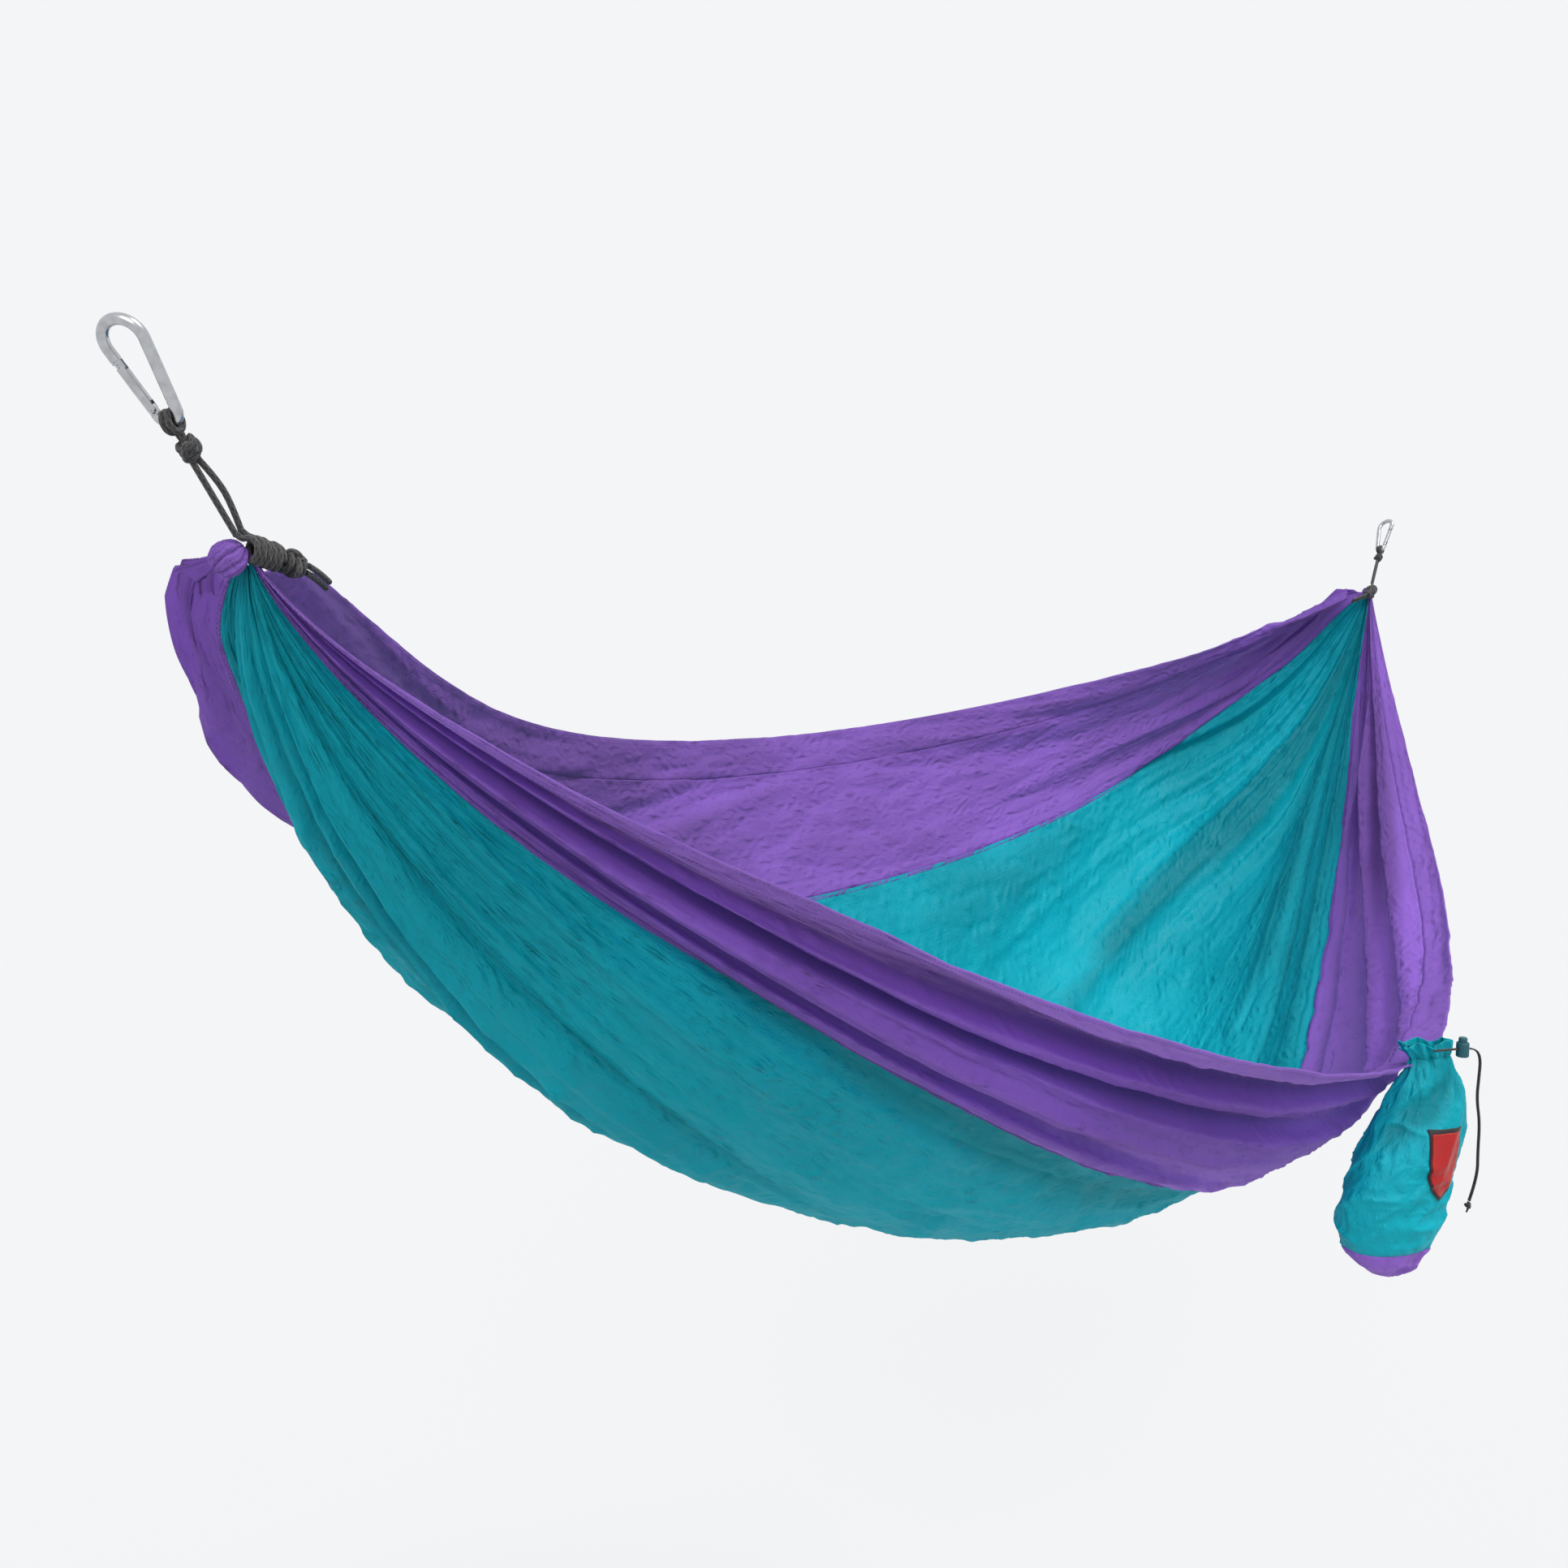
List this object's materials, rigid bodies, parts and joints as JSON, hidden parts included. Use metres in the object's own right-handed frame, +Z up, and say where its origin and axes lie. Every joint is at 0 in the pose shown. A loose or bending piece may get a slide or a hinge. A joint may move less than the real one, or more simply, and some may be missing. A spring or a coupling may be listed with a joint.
{
  "type": "camping hammock",
  "caption": "Gathered-end camping hammock of thin cloth: wide middle panel, two side panels with hems, knotted ropes on steel snap hooks, and a drawcord stuff sack sewn to one hem.",
  "frame": {"origin": "top of the near snap hook, at the inside of its wide bow, where it hangs from its anchor", "axes": "+X runs level from the near anchor to the far anchor, +Z is up, and -Y is the side that the stuff sack hangs on"},
  "size_m": [2.8148, 1.0418, 1.051],
  "materials": {
    "teal_cloth": "fine plain weave, soft sheen, crinkled",
    "purple_cloth": "fine plain weave, soft sheen, crinkled",
    "hem_cloth": "folded and stitched cloth, soft sheen",
    "channel_cloth": "tightly gathered cloth",
    "steel": "polished wire",
    "pin_steel": "turned",
    "spring_steel": "drawn wire",
    "rope": "braided cord",
    "sack_cloth": "fine plain weave, soft sheen",
    "sack_base_cloth": "fine plain weave, soft sheen",
    "patch": "close-woven patch, stitched edge",
    "drawcord": "thin braided cord",
    "lock_plastic": "moulded"
  },
  "bodies": {
    "bed": {"near_hem": "hem_cloth", "near_side_panel": "purple_cloth", "center_panel": "teal_cloth", "far_side_panel": "purple_cloth", "far_hem": "hem_cloth", "near_end_channel": "channel_cloth", "near_rope_eye": "rope", "near_eye_knot": "rope", "near_rope_straight": "rope", "near_rope_bowed": "rope", "near_rope_wraps": "rope", "near_cinch_knot": "rope", "near_channel_cord_upper": "rope", "near_channel_cord_lower": "rope", "far_end_channel": "channel_cloth", "far_rope_eye": "rope", "far_eye_knot": "rope", "far_rope_straight": "rope", "far_rope_bowed": "rope", "far_rope_wraps": "rope", "far_cinch_knot": "rope", "far_channel_cord_upper": "rope", "far_channel_cord_lower": "rope", "sack_tab": "sack_cloth"},
    "near_hook": {"near_hook_body": "steel", "near_latch_pin": "pin_steel"},
    "near_hook_gate": {"near_gate": "steel", "near_gate_rivet": "pin_steel", "near_gate_pusher": "pin_steel", "near_gate_spring": "spring_steel"},
    "far_hook": {"far_hook_body": "steel", "far_latch_pin": "pin_steel"},
    "far_hook_gate": {"far_gate": "steel", "far_gate_rivet": "pin_steel", "far_gate_pusher": "pin_steel", "far_gate_spring": "spring_steel"},
    "stuff_sack": {"sack_body": "sack_cloth", "sack_mouth_channel": "sack_cloth", "sack_base": "sack_base_cloth", "sack_patch": "patch", "drawcord_front": "drawcord", "drawcord_back": "drawcord", "drawcord_knot": "drawcord"},
    "cord_lock": {"cord_lock_body": "lock_plastic", "cord_lock_spring": "spring_steel"},
    "cord_lock_button": {"cord_lock_plunger": "lock_plastic"}
  },
  "joints": [
    {"name": "near_hook_swing", "type": "hinge", "parent": "bed", "child": "near_hook", "pos_m": [0.03703, 0, -0.05703], "axis": [0.3142, -0.9272, 0.204], "range_deg": [-45, 45]},
    {"name": "far_hook_swing", "type": "hinge", "parent": "bed", "child": "far_hook", "pos_m": [2.76296, 0, -0.05703], "axis": [0.3142, 0.9272, -0.204], "range_deg": [-45, 45]},
    {"name": "near_gate_hinge", "type": "hinge", "parent": "near_hook", "child": "near_hook_gate", "pos_m": [0.02783, 0.00802, -0.04881], "axis": [0.7776, 0.3746, 0.505], "range_deg": [0, 25], "stiffness_Nm_per_rad": 0.15, "springref_deg": -22.92},
    {"name": "far_gate_hinge", "type": "hinge", "parent": "far_hook", "child": "far_hook_gate", "pos_m": [2.76673, -0.00802, -0.04528], "axis": [-0.7776, 0.3746, 0.505], "range_deg": [0, 25], "stiffness_Nm_per_rad": 0.15, "springref_deg": -22.92},
    {"name": "sack_swing", "type": "hinge", "parent": "bed", "child": "stuff_sack", "pos_m": [1.3877, -0.4664, -0.7242], "axis": [-0.8, 0.6, 0], "range_deg": [-10, 60]},
    {"name": "cord_lock_slide", "type": "slide", "parent": "stuff_sack", "child": "cord_lock", "axis": [0.8, -0.6, 0], "range_m": [0, 0.004]},
    {"name": "cord_lock_press", "type": "slide", "parent": "cord_lock", "child": "cord_lock_button", "axis": [0, 0, -1], "range_m": [0, 0.004], "stiffness_N_per_m": 300, "springref_m": -0.004, "deforming": ["cord_lock_spring"]}
  ]
}
